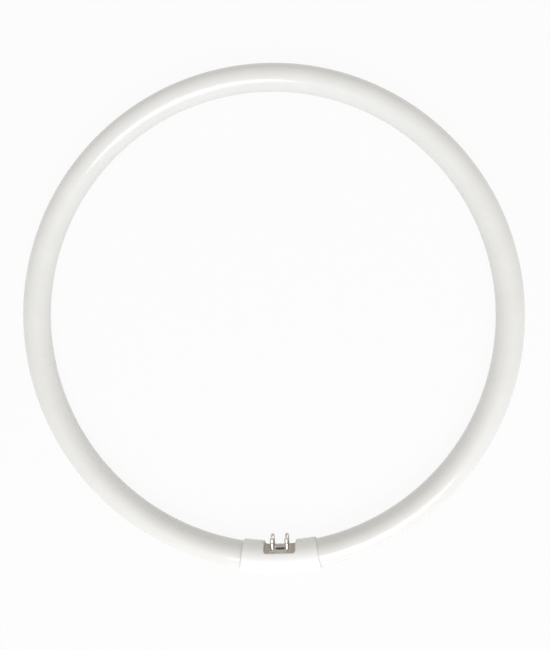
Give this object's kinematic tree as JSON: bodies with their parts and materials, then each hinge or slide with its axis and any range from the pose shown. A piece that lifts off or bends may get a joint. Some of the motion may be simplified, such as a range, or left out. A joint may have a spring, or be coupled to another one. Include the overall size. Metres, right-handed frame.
{
  "type": "circular fluorescent tube",
  "caption": "Ring-shaped white fluorescent lamp with one plastic cap and contact pins pointing into the ring.",
  "frame": {"origin": "centre of the lamp's box, on the surface that it lies on", "axes": "+Z along the ring's axis, +Y from the cap across the ring, the way the pins point, +X to the right"},
  "size_m": [0.299, 0.3036, 0.0192],
  "materials": {
    "coated_glass": "gloss",
    "white_plastic": "satin",
    "plated_pin": "polished",
    "lead_wire": "satin",
    "sleeve": "matte"
  },
  "bodies": {
    "root": {"glass_tube": "coated_glass", "cap_inner_shell": "white_plastic", "cap_outer_shell": "white_plastic", "pin_front_left": "plated_pin", "pin_front_right": "plated_pin", "pin_back_left": "plated_pin", "pin_back_right": "plated_pin", "lead_wire_front_left": "lead_wire", "lead_wire_front_right": "lead_wire", "lead_wire_back_left": "lead_wire", "lead_wire_back_right": "lead_wire", "wire_sleeve_front_left": "sleeve", "wire_sleeve_front_right": "sleeve", "wire_sleeve_back_left": "sleeve", "wire_sleeve_back_right": "sleeve"}
  },
  "joints": []
}
